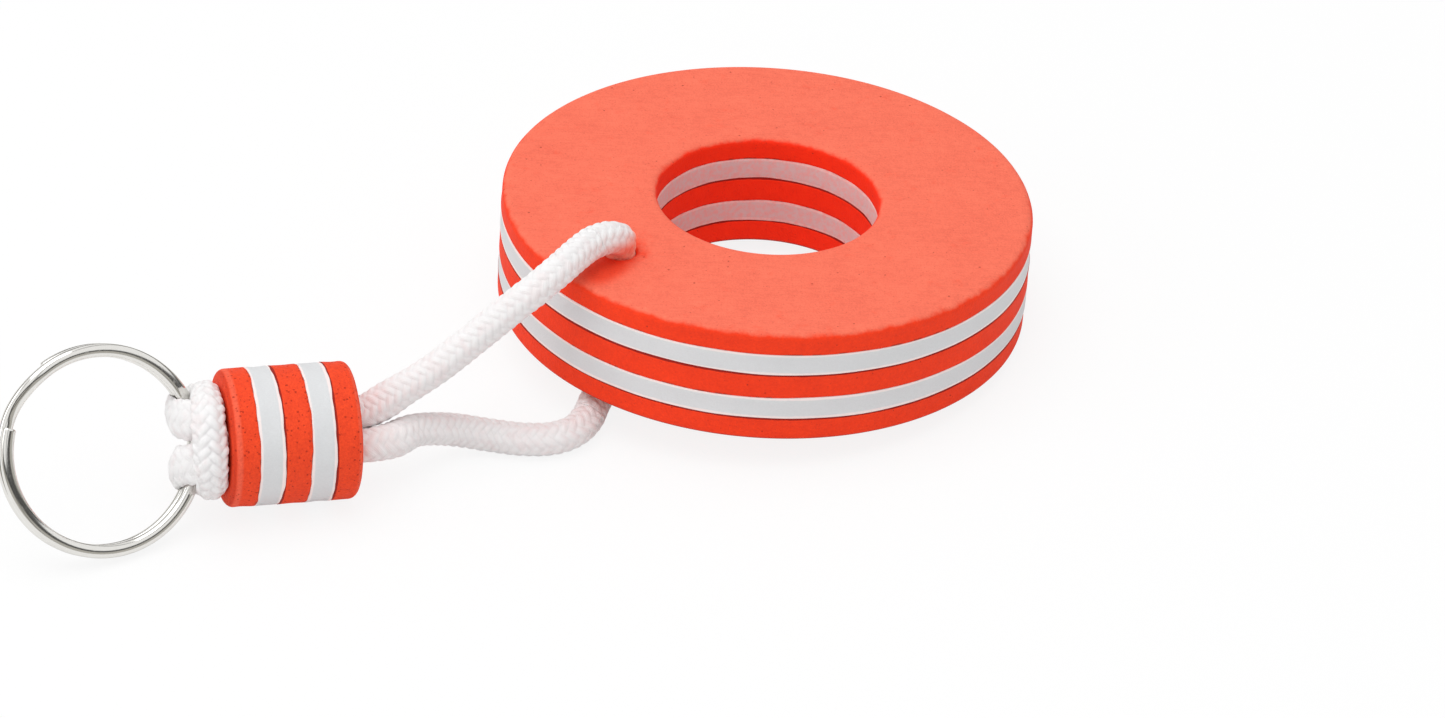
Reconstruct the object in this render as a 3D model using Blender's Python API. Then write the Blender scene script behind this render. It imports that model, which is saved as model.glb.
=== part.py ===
"""Floating keychain, lying as it comes to rest on a table.

A laminated foam ring and a small foam barrel share one loop of braided cord. The loop passes
through a hole in the ring's wall, both its legs run through the barrel, and its far end is tied
to a two-turn split ring with a cow hitch. Metres, +Z up, with the table at Z = 0.
"""

import math

import bmesh
import bpy
from mathutils import Matrix, Vector

# Foam ring
RING_DIAMETER = 0.0750
RING_HOLE_DIAMETER = 0.0314
RING_COLOUR_LAYER = 0.00370
RING_WHITE_LAYER = 0.00325
RING_TOP_LAYER = 0.00325

# Foam barrel
BARREL_DIAMETER = 0.0189
BARREL_COLOUR_LAYER = 0.00370
BARREL_WHITE_LAYER = 0.00340

# What all the foam shares
FOAM_EDGE_ROUND = 0.0008
GLUE_LINE = 0.00012
RING_TOP_MOUTH_ROUND = 0.0003
RING_UNDER_MOUTH_ROUND = 0.0010
BARREL_HITCH_MOUTH_ROUND = 0.0012
BARREL_RING_MOUTH_ROUND = 0.0004

# Cord
CORD_DIAMETER = 0.0047
BORE_CORD_DIAMETER = 0.0040
CORD_CLEARANCE = 0.00015
CORD_BUTT_GAP = 0.0003
PASS_END_DEPTH = 0.0030
RING_MOUTH_CLIMB = 0.0012
BARREL_MOUTH_REACH = 0.0026
HITCH_TAIL_DEPTH = 0.0038

# Where the cord goes through the ring's wall, round the ring's own axis
CORD_HOLE_FROM_CENTRE = 0.0267
CORD_HOLE_AZIMUTH = math.radians(218.9)
LOWER_LEG_HEADING = math.radians(254.0)

# Split ring
SPLIT_RING_DIAMETER = 0.0289
WIRE_WIDTH = 0.00185
WIRE_THICKNESS = 0.00142
WIRE_CORNER_ROUND = 0.00055
COIL_GAP = 0.00010
CROSSOVER_START = math.radians(112.0)
CROSSOVER_ANGLE = math.radians(36.0)
WIRE_END_GAP = math.radians(2.5)

# How the pieces lie
RING_CENTRE = (0.0319, 0.01175)
RING_LIFTED_SIDE = math.radians(218.0)
RING_SEAT_GAP = 0.0003
BARREL_CENTRE = (-0.03275, -0.03164)
BARREL_HEADING = math.radians(14.5)
BARREL_LIFT = math.radians(5.0)
BARREL_BORE_ROLL = math.radians(40.0)
HITCH_ROLL = math.radians(58.0)
SPLIT_RING_CENTRE = (-0.05695, -0.0397)
SPLIT_RING_NORMAL = (0.431, -0.757, 0.491)
SPLIT_RING_HINGE_ANGLE = math.radians(-10.9)

# Mesh fineness
RING_STEPS = 80
BARREL_STEPS = 48
CORD_HOLE_STEPS = 32
ROUND_STEPS = 3
WIRE_STEPS_PER_TURN = 56
CORD_SIDE_RESOLUTION = 4
CUTTER_OVERRUN = 0.002
WELD_DISTANCE = 0.000001
SMOOTH_UP_TO = math.radians(40.0)

# The upper leg of the cord, in millimetres, from the top of the ring down to the barrel
UPPER_LEG_ROUTE = (
    (11.9, -5.5, 24.5),
    (10.7, -7.1, 25.8),
    (8.6, -9.2, 26.3),
    (6.6, -11.9, 26.3),
    (4.1, -15.2, 25.8),
    (1.4, -17.4, 24.5),
    (-1.4, -18.6, 22.7),
    (-6.2, -20.3, 19.2),
    (-12.3, -22.8, 15.1),
    (-17.2, -24.9, 12.7),
)

# The lower leg, from under the ring along the table and up to the barrel
LOWER_LEG_ROUTE = (
    (8.7, -13.4, 2.45),
    (7.8, -17.0, 2.45),
    (6.1, -20.1, 2.45),
    (3.1, -21.9, 2.45),
    (-0.8, -22.1, 2.45),
    (-5.3, -21.4, 2.6),
    (-9.7, -21.9, 3.8),
    (-12.8, -23.5, 5.2),
    (-15.9, -25.8, 6.5),
    (-18.4, -28.9, 7.2),
)

# Half of the hitch in millimetres: away from the barrel, along the wire, towards the viewer,
# and how thick the cord is there, because the knot presses it thin
HITCH_ROUTE = (
    (-1.2, 2.3, -0.1, 3.2),
    (0.3, 2.3, 0.65, 3.0),
    (1.4, 2.3, 2.2, 2.9),
    (3.0, 2.35, 2.9, 2.9),
    (5.0, 2.6, 2.6, 2.9),
    (6.6, 3.2, 0.5, 3.0),
    (6.8, 3.9, -1.9, 3.0),
    (5.5, 4.9, -3.7, 2.9),
    (3.7, 5.8, -3.7, 2.9),
    (2.2, 6.6, -2.0, 2.9),
    (1.9, 7.0, 0.2, 3.0),
    (2.1, 6.7, 2.6, 3.2),
    (2.5, 5.4, 4.9, 3.5),
    (2.8, 3.4, 6.3, 3.7),
    (2.9, 1.2, 6.8, 3.8),
)

MM = 0.001


def clear_scene():
    for old in list(bpy.data.objects):
        bpy.data.objects.remove(old, do_unlink=True)


def new_collection(name):
    made = bpy.data.collections.new(name)
    bpy.context.scene.collection.children.link(made)
    return made


def principled(name, colour, roughness, metallic=0.0):
    made = bpy.data.materials.new(name)
    made.use_nodes = True
    shader = made.node_tree.nodes["Principled BSDF"]
    shader.inputs["Base Color"].default_value = (*colour, 1.0)
    shader.inputs["Roughness"].default_value = roughness
    shader.inputs["Metallic"].default_value = metallic
    return made


def link_object(name, data, collection, material=None):
    made = bpy.data.objects.new(name, data)
    collection.objects.link(made)
    if material:
        data.materials.append(material)
    return made


def as_guide(obj):
    """Marks a cutter or a profile, which isn't a piece of the keychain."""
    obj.hide_render = True
    obj.display_type = "WIRE"
    return obj


def shade_round(mesh):
    """Shades what is round smooth, and keeps its edges."""
    mesh.shade_smooth()
    mesh.set_sharp_from_angle(angle=SMOOTH_UP_TO)


def rounded_corner(centre, radius, start_degrees):
    """Points of a quarter turn, clockwise as seen with X right and Z up."""
    points = []
    for step in range(ROUND_STEPS + 1):
        angle = math.radians(start_degrees - 90.0 * step / ROUND_STEPS)
        points.append((centre[0] + radius * math.cos(angle), centre[1] + radius * math.sin(angle)))
    return points


def layer_outline(inner, outer, low, high, round_low, round_high):
    """A layer's section, from its top at the hole out, down the outer side and back to the top.

    inner is 0 on a layer with no hole. A layer at the foot or the head of its stack has that
    edge pressed round, at the hole too.
    """
    turn = FOAM_EDGE_ROUND
    points = []
    if round_high:
        if inner:
            points += rounded_corner((inner + turn, high - turn), turn, 180.0)
        points += rounded_corner((outer - turn, high - turn), turn, 90.0)
    else:
        points += [(inner, high)] if inner else []
        points += [(outer, high)]
    if round_low:
        points += rounded_corner((outer - turn, low + turn), turn, 0.0)
        if inner:
            points += rounded_corner((inner + turn, low + turn), turn, -90.0)
    else:
        points += [(outer, low)]
        points += [(inner, low)] if inner else []
    if not inner:
        points = [(0.0, high)] + points + [(0.0, low)]
    return points


def turned_piece(name, outline, closed, steps, collection, material):
    """Turns a section about the piece's own Z axis."""
    shape = bmesh.new()
    corners = [shape.verts.new((x, 0.0, z)) for x, z in outline]
    for first, second in zip(corners, corners[1:]):
        shape.edges.new((first, second))
    if closed:
        shape.edges.new((corners[-1], corners[0]))
    bmesh.ops.spin(
        shape,
        geom=shape.verts[:] + shape.edges[:],
        cent=(0.0, 0.0, 0.0),
        axis=(0.0, 0.0, 1.0),
        angle=2.0 * math.pi,
        steps=steps,
        use_merge=True,
    )
    bmesh.ops.remove_doubles(shape, verts=shape.verts[:], dist=WELD_DISTANCE)
    bmesh.ops.recalc_face_normals(shape, faces=shape.faces[:])
    mesh = bpy.data.meshes.new(name)
    shape.to_mesh(mesh)
    shape.free()
    shade_round(mesh)
    return link_object(name, mesh, collection, material)


def mouth_sections(radius):
    """How far a rounded mouth stands out from its bore, by depth below the face."""
    sections = []
    for step in range(ROUND_STEPS + 1):
        turn = math.radians(90.0 * step / ROUND_STEPS)
        sections.append((radius * (1.0 - math.cos(turn)), radius * (1.0 - math.sin(turn))))
    return sections


def bore_cutter(name, straight, radius, length, low_round, high_round, collection):
    """A bore cutter along Z whose outline has two straight sides and round ends.

    straight is the distance between the centres of its round ends, 0 for a round bore. Its
    mouths open out by low_round and high_round, as foam does where a cord bends over its edge.
    """
    sections = [(-CUTTER_OVERRUN, low_round)]
    sections += mouth_sections(low_round)
    sections += [(length - depth, grown) for depth, grown in reversed(mouth_sections(high_round))]
    sections.append((length + CUTTER_OVERRUN, high_round))
    shape = bmesh.new()
    rings = []
    for z, grown in sections:
        ring = []
        for step in range(CORD_HOLE_STEPS):
            angle = 2.0 * math.pi * (step + 0.5) / CORD_HOLE_STEPS
            shift = straight / 2.0 if math.cos(angle) > 0 else -straight / 2.0
            across = (radius + grown) * math.cos(angle) + shift
            along = (radius + grown) * math.sin(angle)
            ring.append(shape.verts.new((across, along, z)))
        rings.append(ring)
    for lower, upper in zip(rings, rings[1:]):
        for step in range(CORD_HOLE_STEPS):
            after = (step + 1) % CORD_HOLE_STEPS
            shape.faces.new((lower[step], lower[after], upper[after], upper[step]))
    shape.faces.new(list(reversed(rings[0])))
    shape.faces.new(rings[-1])
    mesh = bpy.data.meshes.new(name)
    shape.to_mesh(mesh)
    shape.free()
    shade_round(mesh)
    return as_guide(link_object(name, mesh, collection))


def cut(piece, cutter):
    made = piece.modifiers.new("cut " + cutter.name, "BOOLEAN")
    made.operation = "DIFFERENCE"
    made.solver = "EXACT"
    made.object = cutter


def ring_layers():
    """How thick the ring's layers are, from the table up."""
    return (
        RING_COLOUR_LAYER,
        RING_WHITE_LAYER,
        RING_COLOUR_LAYER,
        RING_WHITE_LAYER,
        RING_TOP_LAYER,
    )


def barrel_layers():
    """How thick the barrel's layers are, from the split ring's end."""
    return (
        BARREL_COLOUR_LAYER,
        BARREL_WHITE_LAYER,
        BARREL_COLOUR_LAYER,
        BARREL_WHITE_LAYER,
        BARREL_COLOUR_LAYER,
    )


def layer_levels(layers):
    """The lowest and highest level of each layer, without the glue lines between them."""
    levels = []
    low = 0.0
    for number, layer in enumerate(layers):
        high = low + layer
        levels.append((
            low + (GLUE_LINE / 2.0 if number > 0 else 0.0),
            high - (GLUE_LINE / 2.0 if number < len(layers) - 1 else 0.0),
        ))
        low = high
    return levels


def foam_stack(names, outer, inner, levels, steps, cutter, carrier, collection, materials):
    for number, (name, (low, high)) in enumerate(zip(names, levels)):
        outline = layer_outline(inner, outer, low, high, number == 0, number == len(names) - 1)
        material = materials[number % 2]
        piece = turned_piece(name, outline, inner > 0, steps, collection, material)
        piece.parent = carrier
        cut(piece, cutter)


def ring_frame():
    """The foam ring's own frame: its axis, with the side that lies on the cord lifted."""
    reach = RING_DIAMETER / 2.0 - FOAM_EDGE_ROUND
    lift = CORD_DIAMETER + RING_SEAT_GAP
    tilt = math.asin(lift / (reach + CORD_HOLE_FROM_CENTRE))
    hinge = Vector((math.sin(RING_LIFTED_SIDE), -math.cos(RING_LIFTED_SIDE), 0.0))
    height = reach * math.sin(tilt) + FOAM_EDGE_ROUND * (1.0 - math.cos(tilt))
    return Matrix.Translation((*RING_CENTRE, height)) @ Matrix.Rotation(tilt, 4, hinge)


def rolled_frame(origin, heading, lift, roll):
    """A frame whose Z runs along the barrel towards the foam ring and whose X is turned by roll."""
    along = Vector((
        math.cos(lift) * math.cos(heading),
        math.cos(lift) * math.sin(heading),
        -math.sin(lift),
    ))
    level = Vector((-math.sin(heading), math.cos(heading), 0.0))
    upward = along.cross(level)
    across = math.cos(roll) * level + math.sin(roll) * upward
    front = along.cross(across)
    turned = Matrix((across, front, along)).transposed().to_4x4()
    return Matrix.Translation(origin) @ turned


def barrel_left_end():
    """The middle of the barrel's end face at the split ring, with the other end on the table."""
    half = sum(barrel_layers()) / 2.0
    reach = half - FOAM_EDGE_ROUND
    height = (
        reach * math.sin(BARREL_LIFT)
        + (BARREL_DIAMETER / 2.0 - FOAM_EDGE_ROUND) * math.cos(BARREL_LIFT)
        + FOAM_EDGE_ROUND
    )
    centre = Vector((*BARREL_CENTRE, height))
    along = rolled_frame(centre, BARREL_HEADING, BARREL_LIFT, 0.0).to_3x3().col[2]
    return centre - along * half


def barrel_frame():
    return rolled_frame(barrel_left_end(), BARREL_HEADING, BARREL_LIFT, BARREL_BORE_ROLL)


def hitch_frame():
    return rolled_frame(barrel_left_end(), BARREL_HEADING, BARREL_LIFT, HITCH_ROLL)


def split_ring_frame():
    """The split ring's own frame, leaning on the hitch with its lowest point on the table."""
    axis = Vector(SPLIT_RING_NORMAL).normalized()
    level = Vector((0.0, 0.0, 1.0)).cross(axis).normalized()
    steep = axis.cross(level)
    reach = SPLIT_RING_DIAMETER / 2.0 - WIRE_CORNER_ROUND
    stack = WIRE_THICKNESS + COIL_GAP / 2.0 - WIRE_CORNER_ROUND
    height = reach * steep.z + stack * abs(axis.z) + WIRE_CORNER_ROUND
    turned = Matrix((level, steep, axis)).transposed().to_4x4()
    return Matrix.Translation((*SPLIT_RING_CENTRE, height)) @ turned


def split_ring_hinge():
    """A frame on the wire inside the hitch, with its Z along the wire."""
    ring = split_ring_frame()
    radius = (SPLIT_RING_DIAMETER - WIRE_WIDTH) / 2.0
    outward = Vector((math.cos(SPLIT_RING_HINGE_ANGLE), math.sin(SPLIT_RING_HINGE_ANGLE), 0.0))
    normal = Vector((0.0, 0.0, 1.0))
    turned = Matrix((outward, -normal, normal.cross(outward))).transposed().to_4x4()
    return ring @ Matrix.Translation(radius * outward) @ turned


def frame_empty(name, matrix, collection):
    empty = link_object(name, None, collection)
    empty.empty_display_size = 0.01
    empty.matrix_world = matrix
    return empty


def smooth_route(points, between):
    """Catmull-Rom points through the route's own, with the given number to each stretch."""
    ends = [points[0] * 2.0 - points[1]] + points + [points[-1] * 2.0 - points[-2]]
    route = []
    for a, b, c, d in zip(ends, ends[1:], ends[2:], ends[3:]):
        for step in range(between):
            t = step / between
            route.append(
                0.5 * (2.0 * b + (c - a) * t + (2.0 * a - 5.0 * b + 4.0 * c - d) * t * t
                       + (3.0 * b - a - 3.0 * c + d) * t * t * t)
            )
    return route + [points[-1]]


def cord_piece(name, points, diameters, collection, material):
    curve = bpy.data.curves.new(name, "CURVE")
    curve.dimensions = "3D"
    curve.bevel_depth = CORD_DIAMETER / 2.0
    curve.bevel_resolution = CORD_SIDE_RESOLUTION
    curve.use_fill_caps = True
    line = curve.splines.new("POLY")
    line.points.add(len(points) - 1)
    for place, point, diameter in zip(line.points, points, diameters):
        place.co = (*point, 1.0)
        place.radius = diameter / CORD_DIAMETER
    line.use_smooth = True
    return link_object(name, curve, collection, material)


def cord_pitch():
    return CORD_DIAMETER + CORD_CLEARANCE


def cords(collection, material):
    ring = ring_frame()
    barrel = barrel_frame()
    hitch = hitch_frame()
    thickness = sum(ring_layers())
    length = sum(barrel_layers())
    beside = cord_pitch() / 2.0

    hole = Vector((
        CORD_HOLE_FROM_CENTRE * math.cos(CORD_HOLE_AZIMUTH),
        CORD_HOLE_FROM_CENTRE * math.sin(CORD_HOLE_AZIMUTH),
        0.0,
    ))

    def in_ring(level):
        return ring @ (hole + Vector((0.0, 0.0, level)))

    def in_barrel(side, depth):
        return barrel @ Vector((side * beside, 0.0, depth))

    def even_cord(name, points):
        cord_piece(name, points, [CORD_DIAMETER] * len(points), collection, material)

    low_end = PASS_END_DEPTH
    high_end = thickness - PASS_END_DEPTH
    even_cord("cord_through_ring", [in_ring(low_end), in_ring(thickness / 2.0), in_ring(high_end)])

    middle = length / 2.0 + CORD_BUTT_GAP / 2.0
    beyond = length + BARREL_MOUTH_REACH
    upper = [in_ring(high_end + CORD_BUTT_GAP), in_ring(thickness)]
    upper.append(in_ring(thickness + RING_MOUTH_CLIMB))
    upper += [Vector(point) * MM for point in UPPER_LEG_ROUTE]
    upper += [in_barrel(1, beyond), in_barrel(1, length), in_barrel(1, middle)]
    even_cord("cord_upper_leg", smooth_route(upper, 2))

    bend = RING_UNDER_MOUTH_ROUND + cord_pitch() / 2.0
    outward = Vector((math.cos(LOWER_LEG_HEADING), math.sin(LOWER_LEG_HEADING), 0.0))
    lower = [in_ring(low_end - CORD_BUTT_GAP)]
    for step in range(ROUND_STEPS + 1):
        angle = math.radians(90.0 * step / ROUND_STEPS)
        level = RING_UNDER_MOUTH_ROUND - bend * math.sin(angle)
        lower.append(in_ring(level) + outward * bend * (1.0 - math.cos(angle)))
    lower += [Vector(point) * MM for point in LOWER_LEG_ROUTE]
    lower += [in_barrel(-1, beyond), in_barrel(-1, length), in_barrel(-1, middle)]
    even_cord("cord_lower_leg", smooth_route(lower, 2))

    def half_hitch(side):
        start = [(*in_barrel(side, middle - CORD_BUTT_GAP), BORE_CORD_DIAMETER)]
        start.append((*in_barrel(side, HITCH_TAIL_DEPTH), BORE_CORD_DIAMETER))
        for away, along, front, thick in HITCH_ROUTE:
            place = hitch @ (Vector((side * along, front, -away)) * MM)
            start.append((*place, thick * MM))
        return [Vector(entry) for entry in start]

    loop = smooth_route(half_hitch(1) + list(reversed(half_hitch(-1))), 1)
    cord_piece("cord_hitch", [p.to_3d() for p in loop], [p[3] for p in loop], collection, material)


def wire_profile(collection):
    """The wire's section: flat where its coils lie on each other, with rounded corners."""
    half_width = WIRE_WIDTH / 2.0 - WIRE_CORNER_ROUND
    half_thickness = WIRE_THICKNESS / 2.0 - WIRE_CORNER_ROUND
    corners = ((1, 1, 0), (-1, 1, 90), (-1, -1, 180), (1, -1, 270))
    points = []
    for x_side, y_side, start in corners:
        for step in range(2):
            angle = math.radians(start + 90.0 * step)
            points.append((
                x_side * half_width + WIRE_CORNER_ROUND * math.cos(angle),
                y_side * half_thickness + WIRE_CORNER_ROUND * math.sin(angle),
            ))
    curve = bpy.data.curves.new("wire section", "CURVE")
    curve.dimensions = "2D"
    line = curve.splines.new("POLY")
    line.points.add(len(points) - 1)
    for place, (x, y) in zip(line.points, reversed(points)):
        place.co = (x, y, 0.0, 1.0)
    line.use_cyclic_u = True
    return as_guide(link_object("wire section", curve, collection))


def split_ring(collection, cutters, material):
    """Two turns of flattened wire. The wire steps from one coil to the other once a turn."""
    radius = (SPLIT_RING_DIAMETER - WIRE_WIDTH) / 2.0
    pitch = WIRE_THICKNESS + COIL_GAP
    first = CROSSOVER_START + CROSSOVER_ANGLE + WIRE_END_GAP
    last = CROSSOVER_START + 4.0 * math.pi - WIRE_END_GAP
    crossing = CROSSOVER_START + 2.0 * math.pi
    steps = round((last - first) / (2.0 * math.pi) * WIRE_STEPS_PER_TURN)
    curve = bpy.data.curves.new("split_ring", "CURVE")
    curve.dimensions = "3D"
    curve.twist_mode = "Z_UP"
    curve.bevel_mode = "OBJECT"
    curve.bevel_object = wire_profile(cutters)
    curve.use_fill_caps = True
    line = curve.splines.new("POLY")
    line.points.add(steps)
    for step, place in enumerate(line.points):
        angle = first + (last - first) * step / steps
        share = min(max((angle - crossing) / CROSSOVER_ANGLE, 0.0), 1.0)
        climb = 0.5 - share * share * (3.0 - 2.0 * share)
        place.co = (radius * math.cos(angle), radius * math.sin(angle), climb * pitch, 1.0)
    hinge = split_ring_hinge()
    ring = link_object("split_ring", curve, collection, material)
    ring.parent = frame_empty("split_ring_hinge", hinge, collection)
    ring.matrix_local = hinge.inverted() @ split_ring_frame()


def build():
    clear_scene()
    parts = new_collection("floating_keychain")
    cutters = new_collection("cutters")
    coloured = principled("orange foam", (0.90, 0.10, 0.035), 0.75)
    white = principled("white foam", (0.80, 0.81, 0.82), 0.8)
    braid = principled("white braided cord", (0.85, 0.84, 0.84), 0.7)
    nickel = principled("nickel plated steel", (0.72, 0.70, 0.68), 0.18, 1.0)

    hole = CORD_DIAMETER / 2.0 + CORD_CLEARANCE
    ring_base = frame_empty("ring_base", ring_frame(), parts)
    ring_cutter = bore_cutter(
        "ring cord hole", 0.0, hole, sum(ring_layers()),
        RING_UNDER_MOUTH_ROUND, RING_TOP_MOUTH_ROUND, cutters,
    )
    ring_cutter.parent = ring_base
    ring_cutter.location = (
        CORD_HOLE_FROM_CENTRE * math.cos(CORD_HOLE_AZIMUTH),
        CORD_HOLE_FROM_CENTRE * math.sin(CORD_HOLE_AZIMUTH),
        0.0,
    )
    ring_names = (
        "ring_bottom_layer",
        "ring_lower_white_layer",
        "ring_middle_layer",
        "ring_upper_white_layer",
        "ring_top_layer",
    )
    foam_stack(
        ring_names, RING_DIAMETER / 2.0, RING_HOLE_DIAMETER / 2.0, layer_levels(ring_layers()),
        RING_STEPS, ring_cutter, ring_base, parts, (coloured, white),
    )

    barrel_base = frame_empty("barrel_base", barrel_frame(), parts)
    barrel_cutter = bore_cutter(
        "barrel bore", cord_pitch(), hole, sum(barrel_layers()),
        BARREL_HITCH_MOUTH_ROUND, BARREL_RING_MOUTH_ROUND, cutters,
    )
    barrel_cutter.parent = barrel_base
    barrel_names = (
        "barrel_left_end_layer",
        "barrel_left_white_layer",
        "barrel_middle_layer",
        "barrel_right_white_layer",
        "barrel_right_end_layer",
    )
    foam_stack(
        barrel_names, BARREL_DIAMETER / 2.0, 0.0, layer_levels(barrel_layers()),
        BARREL_STEPS, barrel_cutter, barrel_base, parts, (coloured, white),
    )

    split_ring(parts, cutters, nickel)
    cords(parts, braid)


build()
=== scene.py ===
"""Looks for the floating keychain: cut foam, braided cord and a nickel plated split ring.

Laid out as an add-on and run as a script. Metres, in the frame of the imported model.
"""

import math

import bmesh
import bpy
import numpy as np
from mathutils import Matrix, Vector


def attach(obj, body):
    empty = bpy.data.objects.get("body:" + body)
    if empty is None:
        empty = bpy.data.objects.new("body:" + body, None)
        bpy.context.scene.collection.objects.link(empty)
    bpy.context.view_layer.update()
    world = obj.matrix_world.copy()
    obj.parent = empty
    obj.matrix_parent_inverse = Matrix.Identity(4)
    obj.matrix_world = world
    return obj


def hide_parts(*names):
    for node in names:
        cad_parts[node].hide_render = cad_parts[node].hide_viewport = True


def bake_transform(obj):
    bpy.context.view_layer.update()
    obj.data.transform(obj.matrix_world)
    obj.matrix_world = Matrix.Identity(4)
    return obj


bl_info = {
    "name": "Floating keychain",
    "version": (1, 0, 0),
    "blender": (4, 5, 0),
    "location": "View3D > Sidebar > Keychain",
    "description": "Cut foam, braided cord and a split ring for the packed floating keychain",
    "category": "Object",
}

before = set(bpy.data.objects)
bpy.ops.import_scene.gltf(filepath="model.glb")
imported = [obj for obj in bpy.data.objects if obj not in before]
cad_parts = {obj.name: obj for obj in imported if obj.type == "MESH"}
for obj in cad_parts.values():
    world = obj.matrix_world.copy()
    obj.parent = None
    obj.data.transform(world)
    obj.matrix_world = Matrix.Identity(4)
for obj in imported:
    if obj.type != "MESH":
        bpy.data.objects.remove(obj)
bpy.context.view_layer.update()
MM = 0.001
FLOAT_BODY = "float_and_cord"
RING_BODY = "key_ring"

# The camera, worked out from the two rims of the foam ring in the photo
CAMERA_PLACE = (0.02651, -0.69486, 0.48243)
CAMERA_TILT = math.radians(55.26)
CAMERA_LENS = 149.48

# The foam ring, as the model has it
RING_RADIUS = 0.0375
RING_HOLE_RADIUS = 0.0157
RING_LAYERS = (0.00370, 0.00325, 0.00370, 0.00325, 0.00325)
RING_CENTRE = (0.0319, 0.01175)
RING_LIFTED_SIDE = math.radians(218.0)
RING_TILT = math.radians(4.5215)
RING_BASE_HEIGHT = 0.002896
CORD_HOLE_FROM_CENTRE = 0.0267
CORD_HOLE_AZIMUTH = math.radians(218.9)
CORD_HOLE = Vector((
    CORD_HOLE_FROM_CENTRE * math.cos(CORD_HOLE_AZIMUTH),
    CORD_HOLE_FROM_CENTRE * math.sin(CORD_HOLE_AZIMUTH),
    0.0,
))
RING_UPPER_MOUTH_ROUND = 0.0004
MOUTH_DENT = 0.00035
MOUTH_DENT_RADIUS = 0.0023
MOUTH_DENT_REACH = 0.0022
MOUTH_DENT_DEPTH = 0.0012
RING_NAMES = (
    "ring_bottom_layer",
    "ring_lower_white_layer",
    "ring_middle_layer",
    "ring_upper_white_layer",
    "ring_top_layer",
)

# What both foam stacks share
LAYERS = len(RING_LAYERS)
HOLE_EDGE_SHARE = 0.8
LAYER_CORNER_ROUND = 0.00013
SHORTEST_FACE_EDGE = 0.002
SHORTEST_SIDE_EDGE = 0.001
SMOOTH_BELOW = 35.0

# The foam barrel
BARREL_RADIUS = 0.00945
BARREL_LAYERS = (0.00370, 0.00340, 0.00370, 0.00340, 0.00370)
BARREL_CENTRE = (-0.03275, -0.03164, 0.01014)
BARREL_HEADING = math.radians(14.5)
BARREL_LIFT = math.radians(5.0)
BARREL_BORE_ROLL = math.radians(40.0)
HITCH_ROLL = math.radians(58.0)
BARREL_NAMES = (
    "barrel_left_end_layer",
    "barrel_left_white_layer",
    "barrel_middle_layer",
    "barrel_right_white_layer",
    "barrel_right_end_layer",
)
BARREL_MOUTH_ROUND = 0.0012
BARREL_FAR_MOUTH_ROUND = 0.0005
BARREL_WAVE_SHARE = 1.4

# The cord
ROUTE_DIVISIONS = 12
ROUTE_STEP = 0.00016
TUBE_SIDES = 90
CORD_PITCH = 0.00485
LOWER_LEG_HEADING = math.radians(254.0)
UNDER_MOUTH_ROUND = 0.0010
RING_MOUTH_CLIMB = 0.0012
BARREL_MOUTH_REACH = 0.0026
HITCH_TAIL_DEPTH = 0.0038
BORE_RADIUS = 0.00235
LEG_SWELL = 0.00045
LEG_SWELL_FROM_BARREL = 0.0062
LEG_SWELL_LENGTH = 0.0026
STRAIGHT_ABOVE_FOOT = 0.0030
STRAIGHT_BELOW_TOP = 0.0027
HITCH_TAIL_THICKNESS = 0.0044
HITCH_LUMPS = 0.00012
CORD_OFF_WIRE = 0.00006
CORD_OFF_BARREL = 0.00005
UPPER_LEG_ROUTE = (
    (11.9, -5.5, 24.5),
    (10.7, -7.1, 25.8),
    (8.6, -9.2, 26.3),
    (6.6, -11.9, 26.3),
    (4.1, -15.2, 25.8),
    (1.4, -17.4, 24.5),
    (-1.4, -18.6, 22.7),
    (-6.2, -20.3, 19.2),
    (-12.3, -22.8, 15.1),
    (-17.2, -24.9, 12.7),
)
LOWER_LEG_ROUTE = (
    (8.7, -13.4, 2.45),
    (7.8, -17.0, 2.45),
    (6.1, -20.1, 2.45),
    (3.1, -21.9, 2.45),
    (-0.8, -22.1, 2.45),
    (-5.3, -21.4, 2.6),
    (-9.7, -21.9, 3.8),
    (-12.8, -23.5, 5.2),
    (-15.9, -25.8, 6.5),
    (-18.4, -28.9, 7.2),
)
# Half of the hitch in millimetres: away from the barrel, along the wire, towards the viewer,
# how thick the cord is there, and how much wider it is than thick where the wire flattens it
HITCH_ROUTE = (
    (-1.2, 2.35, -0.1, 4.1, 0.0),
    (0.3, 2.4, 0.6, 3.6, 0.5),
    (1.5, 2.65, 2.1, 3.1, 1.6),
    (3.0, 2.85, 2.85, 2.8, 2.8),
    (4.6, 3.0, 2.5, 2.6, 3.1),
    (5.7, 3.25, 0.6, 2.5, 3.1),
    (5.85, 3.8, -1.6, 2.5, 3.1),
    (5.2, 4.3, -3.4, 2.8, 2.4),
    (3.8, 5.0, -3.7, 3.0, 1.6),
    (2.3, 5.7, -2.2, 3.4, 0.8),
    (1.9, 6.1, 0.1, 3.9, 0.2),
    (2.1, 5.9, 2.5, 4.2, 0.0),
    (2.4, 4.9, 4.8, 4.6, 0.0),
    (2.6, 3.1, 6.2, 4.9, 0.0),
    (2.65, 1.1, 6.7, 5.0, 0.0),
)

# The split ring
SPLIT_RING_RADIUS = 0.01445
WIRE_WIDTH = 0.00185
WIRE_THICKNESS = 0.00142
COIL_GAP = 0.00010
WIRE_CORNER_ROUND = 0.00055
CROSSOVER_START = math.radians(112.0)
CROSSOVER_ANGLE = math.radians(36.0)
WIRE_END_GAP = math.radians(2.5)
SPLIT_RING_CENTRE = (-0.05695, -0.0397)
SPLIT_RING_NORMAL = (0.431, -0.757, 0.491)
HINGE_POINT = (-0.044787, -0.03422, 0.010883)
WIRE_END_TAPER = 0.20
WIRE_SECTION_SIDES = 28
WIRE_SQUARENESS = 0.82

# How far the hitch's way out to the split ring's hinge leans aside
BEND_LEAN = 0.6
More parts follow.
